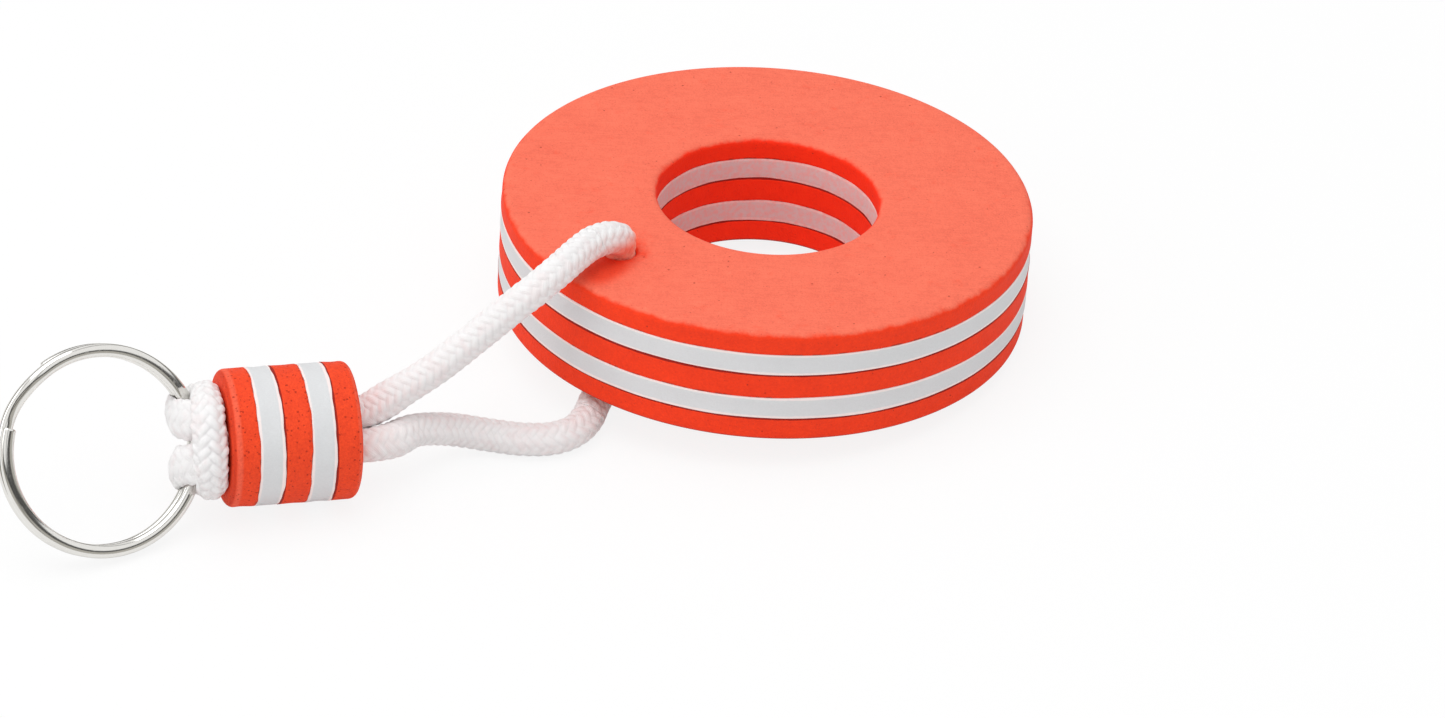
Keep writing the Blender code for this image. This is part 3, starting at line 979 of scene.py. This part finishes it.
def cord_finish(settings, mouth):
    """Spun yarn: fine fibres along each strand, painted shade between them, with a faint warm cast.

    Near the mouth of the foam ring's hole, low over the foam, it has painted orange light bounced
    from the foam.
    """
    cord = Finish("braided_cord")
    spot = cord.node("ShaderNodeUVMap", {"uv_map": "plait"})
    around, along, _ = cord.parts(spot)
    a = around + along
    b = around - along
    row = a.floor()
    column = b.floor()
    quarter = (row + column) / 4.0
    on_top = 1.0 - (quarter - quarter.floor()).above(0.4)
    across = (a - row - 0.5) * on_top + (b - column - 0.5) * (1.0 - on_top)
    down = b * on_top + a * (1.0 - on_top)
    lean = across * 30.0 + (down * (2.0 * math.pi)).sine() * 0.4
    place = cord.node("ShaderNodeTexCoord", output=3)
    cloud = cord.noise(place, 420.0)
    fuzz = cord.noise(place, 4200.0, 0.7)
    fibre = (lean + fuzz * 3.0).sine() * 0.5 + 0.5
    groove = abs(across).between(0.30, 0.50)
    tone = cord.mix(cloud.between(0.45, 0.68) * 0.5, settings.colour, CORD_CAST)
    # Painted shade in the grooves between the strands
    tone = cord.mix(groove * 0.14, tone, CORD_GROOVE_SHADE)
    x, y, height = cord.parts(cord.local_mm(mouth))
    far = (x * x + y * y).root()
    # Painted light: orange bounced from the foam onto the cord, strongest low over the face
    orange_bounce = 1.0 - (height + (cloud - 0.5) * 3.0).between(1.4, 4.6)
    orange_bounce = orange_bounce * (1.0 - far.between(3.0, 7.5)) * height.above(-4.0)
    tone = cord.mix(orange_bounce * 0.90, tone, ORANGE_BOUNCE_ON_CORD)
    relief = fibre * 0.5 + fuzz * 0.6
    return cord.principled(
        Base_Color=tone,
        Roughness=0.62 + fuzz * 0.25,
        Normal=cord.bump(relief, 0.5, 0.00012),
        Sheen_Weight=0.25,
        Sheen_Roughness=0.5,
    )


def press_off_wire(points):
    """Presses the cord's surface off the split ring's wire where it lies against it."""
    turned = split_ring_frame()
    local = moved_by(turned.inverted(), points)
    around = np.hypot(local[:, 0], local[:, 1])
    section = np.stack([around - (SPLIT_RING_RADIUS - WIRE_WIDTH / 2.0), local[:, 2]], 1)
    half = np.array((WIRE_WIDTH / 2.0, WIRE_THICKNESS + COIL_GAP / 2.0)) - WIRE_CORNER_ROUND
    over = np.abs(section) - half
    outside = np.maximum(over, 0.0)
    reach = np.linalg.norm(outside, axis=1)
    gap = reach + np.minimum(over.max(axis=1), 0.0) - WIRE_CORNER_ROUND
    flat = np.where(over[:, :1] > over[:, 1:], (1.0, 0.0), (0.0, 1.0))
    way = np.where(reach[:, None] > 0.0, outside / np.maximum(reach, 1e-9)[:, None], flat)
    push = np.maximum(CORD_OFF_WIRE - gap, 0.0)[:, None] * way * np.sign(section)
    grown = 1.0 + push[:, 0] / np.maximum(around, 1e-9)
    local = np.stack([local[:, 0] * grown, local[:, 1] * grown, local[:, 2] + push[:, 1]], 1)
    return moved_by(turned, local)


def press_off_barrel(points):
    """Presses the cord's surface out of the barrel's end face, but not out of its bore."""
    turned = along_barrel(BARREL_BORE_ROLL)
    local = moved_by(turned.inverted(), points)
    across = np.maximum(np.abs(local[:, 0]) - CORD_PITCH / 2.0, 0.0)
    on_face = np.hypot(across, local[:, 1]) > BORE_RADIUS + BARREL_MOUTH_ROUND
    local[:, 2] = np.where(on_face, np.minimum(local[:, 2], -CORD_OFF_BARREL), local[:, 2])
    return moved_by(turned, local)


def through_hole(level):
    """A place on the axis of the cord's hole in the foam ring, by height in the ring."""
    return ring_frame() @ (CORD_HOLE + Vector((0.0, 0.0, level)))


def in_bore(side, depth):
    """A place on the middle line of a leg in the barrel's bore, by depth from the hitch's end."""
    return along_barrel(BARREL_BORE_ROLL) @ Vector((side * CORD_PITCH / 2.0, 0.0, depth))


def leg_routes():
    """The cord from the middle of the barrel by its lower leg, through the ring and back."""
    thickness = sum(RING_LAYERS)
    length = sum(BARREL_LAYERS)
    bend = UNDER_MOUTH_ROUND + CORD_PITCH / 2.0
    outward = Vector((math.cos(LOWER_LEG_HEADING), math.sin(LOWER_LEG_HEADING), 0.0))
    lower = [through_hole(thickness / 2.0), through_hole(STRAIGHT_ABOVE_FOOT)]
    for turn in (0.0, 30.0, 60.0, 90.0):
        angle = math.radians(turn)
        level = UNDER_MOUTH_ROUND - bend * math.sin(angle)
        lower.append(through_hole(level) + outward * bend * (1.0 - math.cos(angle)))
    lower += [Vector(point) * MM for point in LOWER_LEG_ROUTE]
    beyond = length + BARREL_MOUTH_REACH
    lower += [in_bore(-1, beyond), in_bore(-1, length), in_bore(-1, length / 2.0)]
    upper = [through_hole(thickness / 2.0), through_hole(thickness - STRAIGHT_BELOW_TOP)]
    upper += [through_hole(thickness), through_hole(thickness + RING_MOUTH_CLIMB)]
    upper += [Vector(point) * MM for point in UPPER_LEG_ROUTE]
    upper += [in_bore(1, beyond), in_bore(1, length), in_bore(1, length / 2.0)]
    return lower, upper


def split_at(route, point):
    """The index of the route's point nearest to the given one."""
    return int(np.argmin(np.linalg.norm(route[:, :3] - np.array(point), axis=1)))


# Wire


def nickel_plating(settings, matrix):
    """Bright plating with fine drawing lines along the wire and a few handling marks."""
    metal = Finish("nickel_plating")
    place = metal.local_mm(matrix)
    x, y, z = metal.parts(place)
    far = (x * x + y * y).root()
    drawn = metal.node("ShaderNodeCombineXYZ", None, {0: far * 6.0, 1: z * 6.0, 2: x * 0.12})
    lines = metal.noise(drawn, 1.0, 0.5, 2.0)
    cloud = metal.noise(place, 0.5)
    worn = metal.noise(place, 1.1).between(0.56, 0.72)
    return metal.principled(
        Base_Color=metal.mix(cloud * 0.5, settings.colour, NICKEL_CLOUD),
        Metallic=1.0,
        Roughness=0.08 + lines * 0.06 + worn * 0.08,
        Normal=metal.bump(lines, 0.03, 0.00005),
    )


# Operators


class KEYCHAIN_OT_camera(bpy.types.Operator):
    """Adds the camera that the keychain is seen through"""

    bl_idname = "keychain.camera"
    bl_label = "Camera"

    def execute(self, context):
        deselect_all()
        bpy.ops.object.camera_add(location=CAMERA_PLACE, rotation=(CAMERA_TILT, 0.0, 0.0))
        camera = context.object
        camera.name = "camera"
        camera.data.lens = CAMERA_LENS
        camera.data.sensor_width = 36.0
        camera.data.clip_start = 0.01
        camera.data.clip_end = 20.0
        context.scene.camera = camera
        return {"FINISHED"}


class KEYCHAIN_OT_cord(bpy.types.Operator):
    """Braids the cord: its part in the foam ring and the two legs to the barrel"""

    bl_idname = "keychain.cord"
    bl_label = "Cord"

    def execute(self, context):
        settings = context.scene.keychain_cord
        lower, upper = leg_routes()
        joined = [tuple(p) for p in reversed(lower)] + [tuple(p) for p in upper[1:]]
        whole = evenly(smooth_route(joined, ROUTE_DIVISIONS), ROUTE_STEP)
        parting = (in_bore(1, sum(BARREL_LAYERS)) + in_bore(-1, sum(BARREL_LAYERS))) / 2.0
        from_parting = np.linalg.norm(whole - np.array(parting), axis=1)
        off_peak = (from_parting - LEG_SWELL_FROM_BARREL) / LEG_SWELL_LENGTH
        thick = settings.diameter + LEG_SWELL * np.exp(-off_peak ** 2)
        whole = np.concatenate([whole, thick[:, None]], 1)
        first = split_at(whole, Vector(LOWER_LEG_ROUTE[1]) * MM)
        second = split_at(whole, Vector(UPPER_LEG_ROUTE[2]) * MM)
        mouth = ring_frame()
        mouth.translation = through_hole(sum(RING_LAYERS))
        finish = cord_finish(settings, mouth)
        runs = (
            ("cord_lower_leg_braid", 0, first, "cord_lower_leg"),
            ("cord_through_ring_braid", first, second, "cord_through_ring"),
            ("cord_upper_leg_braid", second, len(whole) - 1, "cord_upper_leg"),
        )
        pieces = {}
        for name, start, end, node in runs:
            route = whole[start:end + 1]
            piece = braided_tube(name, route, length_of(whole[:start + 1]), settings)
            dress(piece, finish, FLOAT_BODY, node)
            pieces[node] = (piece, route)
        legs = (("cord_lower_leg", 0.0, -1), ("cord_upper_leg", sum(RING_LAYERS), 1))
        for node, level, order in legs:
            piece, route = pieces[node]
        return {"FINISHED"}


class KEYCHAIN_OT_hitch(bpy.types.Operator):
    """Ties the cow hitch round the split ring"""

    bl_idname = "keychain.hitch"
    bl_label = "Hitch"

    def execute(self, context):
        settings = context.scene.keychain_cord
        hitch = along_barrel(HITCH_ROLL)
        half = sum(BARREL_LAYERS) / 2.0

        def side_points(side):
            depths = (half, HITCH_TAIL_DEPTH)
            points = [(*in_bore(side, depth), HITCH_TAIL_THICKNESS, 0.0) for depth in depths]
            for away, along, front, thick, wider in HITCH_ROUTE:
                place = hitch @ (Vector((side * along, front, -away)) * MM)
                points.append((*place, thick * MM, wider * MM))
            return points

        joined = side_points(1) + list(reversed(side_points(-1)))
        route = evenly(smooth_route(joined, ROUTE_DIVISIONS), ROUTE_STEP)
        piece = braided_tube("hitch_braid", route, 0.0, settings, hitch.col[0].xyz, HITCH_LUMPS)
        move_points(piece, press_off_wire)
        move_points(piece, press_off_barrel)
        dress(piece, bpy.data.materials["braided_cord"], None, "cord_hitch")
        point = Vector(HINGE_POINT)
        away = (point - Vector(BARREL_CENTRE)).normalized()
        away = (away - hitch.col[1].xyz * BEND_LEAN).normalized()
        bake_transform(piece)
        return {"FINISHED"}


class KEYCHAIN_OT_foam_ring(bpy.types.Operator):
    """Cuts the foam ring from five layers and bores it for the cord"""

    bl_idname = "keychain.foam_ring"
    bl_label = "Foam ring"

    def execute(self, context):
        settings = context.scene.keychain_foam
        matrix = ring_frame()
        borders = [level / MM for level in layer_levels(RING_LAYERS)]
        grooves = (borders[1], borders[3])
        hole = RING_HOLE_RADIUS / MM
        coloured = orange_foam(
            "ring_orange_foam", matrix, borders, grooves, settings, pores=0.6, pore_share=0.6,
            grit=0.30, hole_radius=hole,
        )
        pale = white_foam("ring_white_foam", matrix, borders, grooves, settings, hole)
        tool = bore_tool(
            "ring bore", 0.0, BORE_RADIUS, sum(RING_LAYERS), UNDER_MOUTH_ROUND,
            RING_UPPER_MOUTH_ROUND,
        )
        tool.data.transform(Matrix.Translation(CORD_HOLE))
        build_stack(
            RING_NAMES, RING_LAYERS, RING_HOLE_RADIUS, RING_RADIUS, matrix, tool,
            (coloured, pale), settings, settings.border_wave, steps=240, cuts=(20, 4),
            press=press_mouth,
        )
        return {"FINISHED"}


class KEYCHAIN_OT_foam_barrel(bpy.types.Operator):
    """Cuts the foam barrel from five layers and bores it for both legs of the cord"""

    bl_idname = "keychain.foam_barrel"
    bl_label = "Foam barrel"

    def execute(self, context):
        settings = context.scene.keychain_foam
        matrix = along_barrel(BARREL_BORE_ROLL)
        borders = [level / MM for level in layer_levels(BARREL_LAYERS)]
        grooves = (borders[2], borders[4])
        coloured = orange_foam(
            "barrel_orange_foam", matrix, borders, grooves, settings, pores=1.7,
            pore_share=0.85, grit=0.55,
        )
        pale = white_foam("barrel_white_foam", matrix, borders, grooves, settings)
        tool = bore_tool(
            "barrel bore", CORD_PITCH, BORE_RADIUS, sum(BARREL_LAYERS), BARREL_MOUTH_ROUND,
            BARREL_FAR_MOUTH_ROUND,
        )
        build_stack(
            BARREL_NAMES, BARREL_LAYERS, 0.0, BARREL_RADIUS, matrix, tool, (coloured, pale),
            settings, settings.border_wave * BARREL_WAVE_SHARE, steps=144, cuts=(8, 3),
        )
        return {"FINISHED"}


class KEYCHAIN_OT_split_ring(bpy.types.Operator):
    """Winds the split ring from flattened wire"""

    bl_idname = "keychain.split_ring"
    bl_label = "Split ring"

    def execute(self, context):
        settings = context.scene.keychain_wire
        section = self.wire_section()
        radius = SPLIT_RING_RADIUS - WIRE_WIDTH / 2.0
        pitch = WIRE_THICKNESS + COIL_GAP
        first = CROSSOVER_START + CROSSOVER_ANGLE + WIRE_END_GAP
        last = CROSSOVER_START + 4.0 * math.pi - WIRE_END_GAP
        crossing = CROSSOVER_START + 2.0 * math.pi
        count = round((last - first) / (2.0 * math.pi) * settings.steps)
        angles = np.linspace(first, last, count + 1)
        near_end = np.radians((0.12, 0.5, 1.1))
        angles = np.concatenate((
            [first], first + near_end, angles[2:-2], last - near_end[::-1], [last],
        ))
        curve = bpy.data.curves.new("split_ring_wire", "CURVE")
        curve.dimensions = "3D"
        curve.twist_mode = "Z_UP"
        curve.bevel_mode = "OBJECT"
        curve.bevel_object = section
        curve.use_fill_caps = True
        line = curve.splines.new("POLY")
        line.points.add(len(angles) - 1)
        for angle, place in zip(angles, line.points):
            share = min(max((angle - crossing) / CROSSOVER_ANGLE, 0.0), 1.0)
            climb = 0.5 - share * share * (3.0 - 2.0 * share)
            place.co = (radius * math.cos(angle), radius * math.sin(angle), climb * pitch, 1.0)
            from_end = min(angle - first, last - angle)
            full = min(1.0, from_end / near_end[-1]) ** 0.5
            place.radius = 1.0 - WIRE_END_TAPER * (1.0 - full)
        line.use_smooth = True
        ring = bpy.data.objects.new("split_ring_wire", curve)
        context.scene.collection.objects.link(ring)
        only(ring)
        bpy.ops.object.convert(target="MESH")
        ring = context.object
        bpy.ops.object.mode_set(mode="EDIT")
        bpy.ops.mesh.select_all(action="SELECT")
        bpy.ops.mesh.remove_doubles(threshold=0.000001)
        bpy.ops.mesh.normals_make_consistent(inside=False)
        bpy.ops.object.mode_set(mode="OBJECT")
        shade_by_angle(ring, 80.0)
        matrix = split_ring_frame()
        settle(ring, matrix)
        dress(ring, nickel_plating(settings, matrix), RING_BODY, "split_ring")
        bpy.data.objects.remove(section)
        return {"FINISHED"}

    @staticmethod
    def wire_section():
        """Half-round wire: a crown on its outer and inner sides, flatter where the coils meet."""
        curve = bpy.data.curves.new("wire section", "CURVE")
        curve.dimensions = "2D"
        line = curve.splines.new("POLY")
        line.points.add(WIRE_SECTION_SIDES - 1)

        def squared(share):
            return math.copysign(abs(share) ** WIRE_SQUARENESS, share)

        for number, place in enumerate(line.points):
            angle = -2.0 * math.pi * (number + 0.5) / WIRE_SECTION_SIDES
            out = squared(math.cos(angle)) * WIRE_WIDTH / 2.0
            up = squared(math.sin(angle)) * WIRE_THICKNESS / 2.0
            place.co = (out, up, 0.0, 1.0)
        line.use_cyclic_u = True
        section = bpy.data.objects.new("wire section", curve)
        bpy.context.scene.collection.objects.link(section)
        section.hide_render = True
        return section


class KEYCHAIN_OT_stage(bpy.types.Operator):
    """Sets the floor, the surroundings and the lamps"""

    bl_idname = "keychain.stage"
    bl_label = "Stage"

    def execute(self, context):
        settings = context.scene.keychain_stage
        self.surroundings(context, settings)
        deselect_all()
        place = (0.0, 0.0, -FLOOR_BELOW_PART)
        bpy.ops.mesh.primitive_plane_add(size=FLOOR_SIZE, location=place)
        floor = context.object
        floor.name = "floor"
        floor.data.materials.append(self.paper(settings))
        self.area_lamp("overhead", (-0.15, -0.10, 0.9), 0.9, 0.7, settings.key_power)
        self.area_lamp("side", (-0.85, -0.30, 0.45), 0.6, 0.6, settings.side_power)
        context.scene.view_settings.view_transform = "Standard"
        return {"FINISHED"}

    @staticmethod
    def area_lamp(name, place, wide, deep, power):
        """A soft lamp that looks at the middle of the part."""
        deselect_all()
        bpy.ops.object.light_add(type="AREA", location=place)
        lamp = bpy.context.object
        lamp.name = name
        lamp.data.shape = "RECTANGLE"
        lamp.data.size = wide
        lamp.data.size_y = deep
        lamp.data.energy = power
        lamp.rotation_euler = (-lamp.location).to_track_quat("-Z", "Y").to_euler()

    @staticmethod
    def paper(settings):
        """Matt paper that the camera sees as nearly white, with the soft shadow left on it."""
        paper = Finish("floor_paper")
        place = paper.node("ShaderNodeTexCoord", output=3)
        light = 0.985 + paper.noise(place, 900.0) * 0.02
        tone = paper.shaded(settings.floor, light, light, light)
        matt = paper.node("ShaderNodeBsdfDiffuse", None, {"Color": tone})
        glow = paper.node("ShaderNodeEmission", None, {"Color": WHITE, "Strength": 1.0})
        seen = paper.node("ShaderNodeLightPath", output=0)
        mirrored = paper.node("ShaderNodeLightPath", output=3)
        share = seen * 0.86 + mirrored * 0.5
        return paper.surface(paper.node("ShaderNodeMixShader", None, {0: share, 1: matt, 2: glow}))

    @staticmethod
    def surroundings(context, settings):
        """A white room for the camera, a softer one for the foam, dark gaps for the metal."""
        room = Finish("studio", world=True)
        way = room.node("ShaderNodeTexCoord", output=0)
        x, y, z = room.parts(way)
        low = 1.0 - z.between(0.33, 0.37)
        line = 1.0 - abs(z - 0.36).between(0.045, 0.085)
        gap = 1.0 - abs(x + 0.35 - y * 0.2).between(0.05, 0.11)
        gap = gap + 1.0 - abs(x - 0.36).between(0.04, 0.08)
        dark = room.mix(low, (1.0, 1.0, 1.0), (0.50, 0.485, 0.45))
        dark = room.mix(line * 0.92, dark, (0.02, 0.02, 0.02))
        dark = room.mix(gap * 0.6, dark, (0.05, 0.05, 0.05))
        soft = room.node("ShaderNodeBackground", None, {0: WHITE, 1: settings.ambient})
        bright = room.node("ShaderNodeBackground", None, {0: WHITE, 1: 1.0})
        shine = room.node("ShaderNodeBackground", None, {0: dark, 1: 1.0})
        seen = room.node("ShaderNodeLightPath", output=0)
        mirrored = room.node("ShaderNodeLightPath", output=3)
        first = room.node("ShaderNodeMixShader", None, {0: mirrored, 1: soft, 2: shine})
        both = room.node("ShaderNodeMixShader", None, {0: seen, 1: first, 2: bright})
        context.scene.world = room.surface(both, "ShaderNodeOutputWorld")


class KEYCHAIN_PT_panel(bpy.types.Panel):
    """Lists the pieces of the keychain"""

    bl_label = "Floating keychain"
    bl_idname = "KEYCHAIN_PT_panel"
    bl_space_type = "VIEW_3D"
    bl_region_type = "UI"
    bl_category = "Keychain"

    def draw(self, context):
        groups = (
            ("keychain_cord", (KEYCHAIN_OT_camera, KEYCHAIN_OT_cord, KEYCHAIN_OT_hitch)),
            ("keychain_foam", (KEYCHAIN_OT_foam_ring, KEYCHAIN_OT_foam_barrel)),
            ("keychain_wire", (KEYCHAIN_OT_split_ring,)),
            ("keychain_stage", (KEYCHAIN_OT_stage,)),
        )
        for name, operators in groups:
            box = self.layout.box()
            settings = getattr(context.scene, name)
            for key in settings.__annotations__:
                box.prop(settings, key)
            for operator in operators:
                box.operator(operator.bl_idname)


GROUPS = (
    ("keychain_foam", FoamSettings),
    ("keychain_cord", CordSettings),
    ("keychain_wire", WireSettings),
    ("keychain_stage", StageSettings),
)
OPERATORS = (
    KEYCHAIN_OT_camera,
    KEYCHAIN_OT_cord,
    KEYCHAIN_OT_hitch,
    KEYCHAIN_OT_foam_ring,
    KEYCHAIN_OT_foam_barrel,
    KEYCHAIN_OT_split_ring,
    KEYCHAIN_OT_stage,
)


def register():
    for _, group in GROUPS:
        bpy.utils.register_class(group)
    for operator in OPERATORS:
        bpy.utils.register_class(operator)
    bpy.utils.register_class(KEYCHAIN_PT_panel)
    for name, group in GROUPS:
        setattr(bpy.types.Scene, name, bpy.props.PointerProperty(type=group))


def unregister():
    for name, _ in GROUPS:
        delattr(bpy.types.Scene, name)
    bpy.utils.unregister_class(KEYCHAIN_PT_panel)
    for operator in reversed(OPERATORS):
        bpy.utils.unregister_class(operator)
    for _, group in reversed(GROUPS):
        bpy.utils.unregister_class(group)


def main():
    register()
    bpy.ops.keychain.camera()
    bpy.ops.keychain.cord()
    bpy.ops.keychain.hitch()
    bpy.ops.keychain.foam_ring()
    bpy.ops.keychain.foam_barrel()
    bpy.ops.keychain.split_ring()
    bpy.ops.keychain.stage()


if __name__ == "__main__":
    main()
